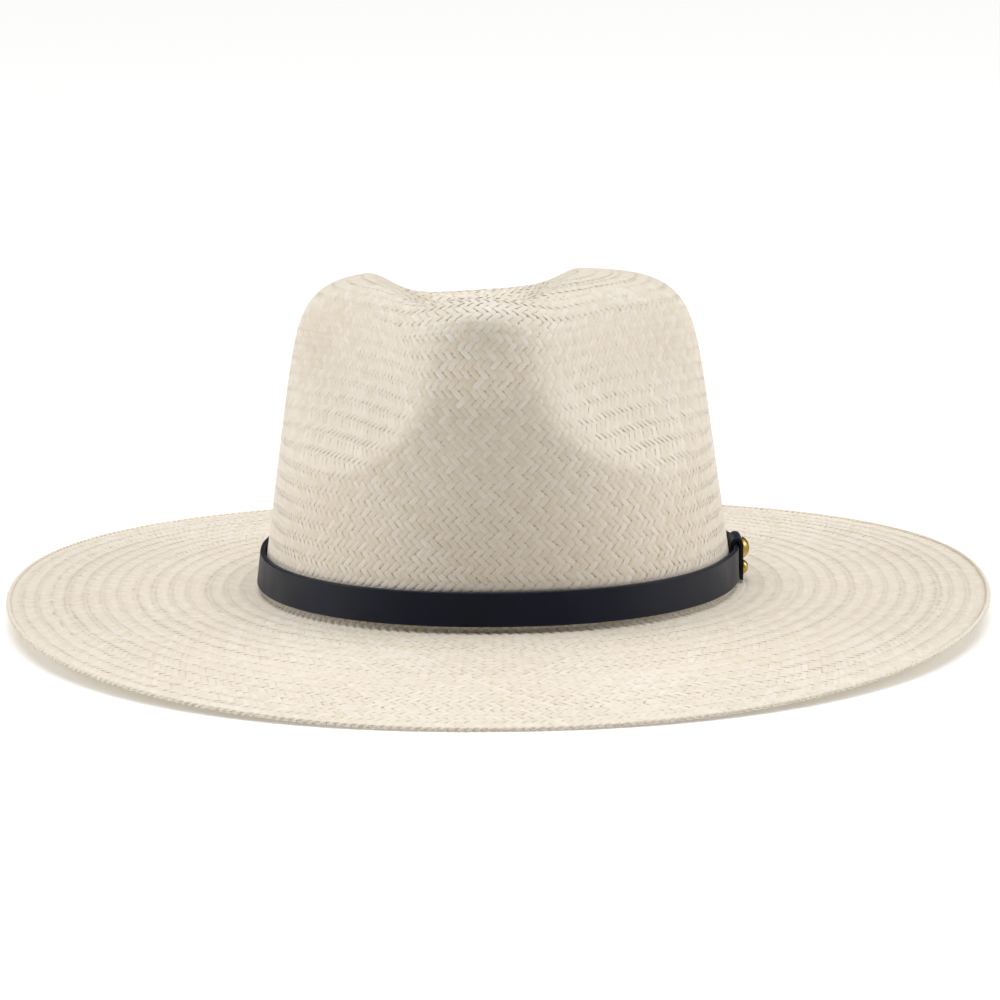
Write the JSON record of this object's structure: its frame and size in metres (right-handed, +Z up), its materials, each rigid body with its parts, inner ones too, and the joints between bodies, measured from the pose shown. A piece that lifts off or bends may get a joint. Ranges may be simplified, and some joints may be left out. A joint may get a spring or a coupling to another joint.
{
  "type": "panama hat",
  "caption": "Wide-brimmed woven straw hat with a teardrop crown, front pinches, a sewn-in leather sweatband and a leather hatband with a folded keeper.",
  "frame": {"origin": "centre of the hat's bounding box at the plane it rests on, brim down", "axes": "+Z up through the crown, -Y towards the front of the hat, +X towards the keeper's side"},
  "size_m": [0.3602, 0.3971, 0.1252],
  "materials": {
    "straw": "matte woven straw",
    "sweat_leather": "smooth matte lining leather",
    "reed_plastic": "matte",
    "cotton_tape": "matte",
    "thread": "matte",
    "bow_ribbon": "ribbed ribbon",
    "band_leather": "smooth with a soft sheen",
    "brass": "satin"
  },
  "bodies": {
    "hat": {"straw_body": "straw", "sweatband": "sweat_leather", "sweatband_reed": "reed_plastic", "reed_tape": "cotton_tape", "sweatband_stitches": "thread", "sweatband_seam_stitches": "thread", "bow_ribbon": "bow_ribbon", "bow_knot": "bow_ribbon"},
    "hatband": {"hatband_strap": "band_leather", "keeper_tab": "band_leather", "stud_upper": "brass", "stud_lower": "brass"}
  },
  "joints": [
    {"name": "hatband_lift", "type": "slide", "parent": "hat", "child": "hatband", "axis": [0, 0, 1], "range_m": [0, 0.13]}
  ]
}
